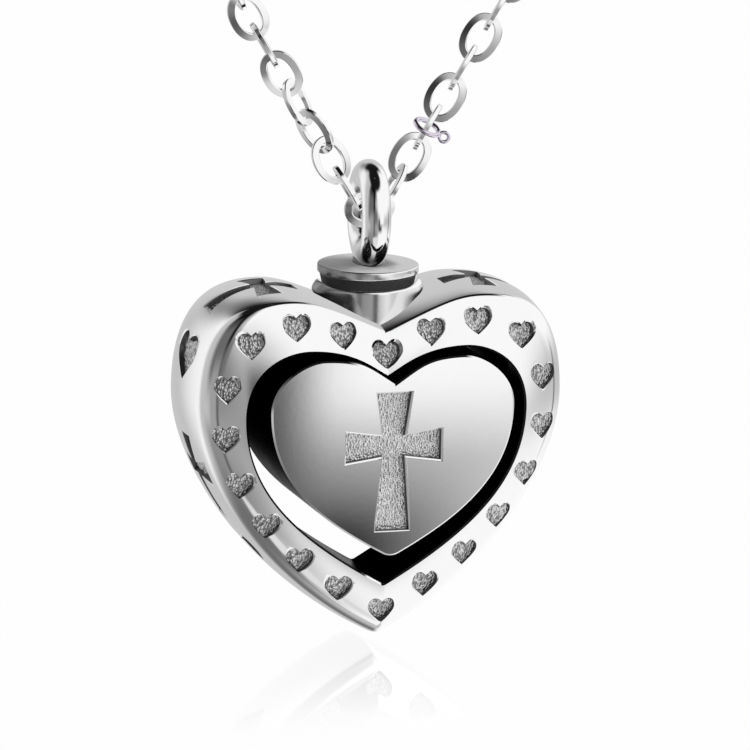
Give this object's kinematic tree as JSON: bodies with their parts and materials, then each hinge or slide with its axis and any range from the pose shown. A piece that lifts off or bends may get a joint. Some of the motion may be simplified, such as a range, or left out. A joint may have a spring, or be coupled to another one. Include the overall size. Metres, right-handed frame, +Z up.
{
  "type": "keepsake urn pendant",
  "caption": "Heart urn pendant with a smaller heart inside, screw cap with a bail ring and a flat cable chain loop",
  "frame": {"origin": "top of the chain loop, in the middle of its clasp, where it lies on the back of the neck", "axes": "+Z up, the pendant hangs towards -Z; the cross of the inner heart faces -Y; X runs across the loop"},
  "size_m": [0.1353, 0.0097, 0.2213],
  "materials": {
    "polished_steel": "mirror polished stainless steel",
    "chain_steel": "polished stainless steel, stamped flat links",
    "tinted_steel": "polished wire with a faint violet tint",
    "rubber": "matt black rubber"
  },
  "bodies": {
    "necklace": {"chain": "chain_steel", "charm_ring": "tinted_steel", "clasp": "chain_steel"},
    "cap": {"screw_cap": "polished_steel"},
    "seal": {"gasket": "rubber"},
    "urn": {"heart_frame": "polished_steel", "inner_heart": "polished_steel"}
  },
  "joints": [
    {"name": "swing", "type": "hinge", "parent": "necklace", "child": "cap", "pos_m": [0, 0, -0.19365], "axis": [1, 0, 0], "range_deg": [-20, 20]},
    {"name": "lift_off", "type": "slide", "parent": "cap", "child": "seal", "axis": [0, 0, -1], "range_m": [0, 0.0026]},
    {"name": "unscrew", "type": "hinge", "parent": "seal", "child": "urn", "pos_m": [0, 0, -0.20136], "axis": [0, 0, -1], "range_deg": [0, 1800]}
  ],
  "couplings": [
    {"joint": "lift_off", "follows": "unscrew", "m_per_rad": 0.000079577}
  ]
}
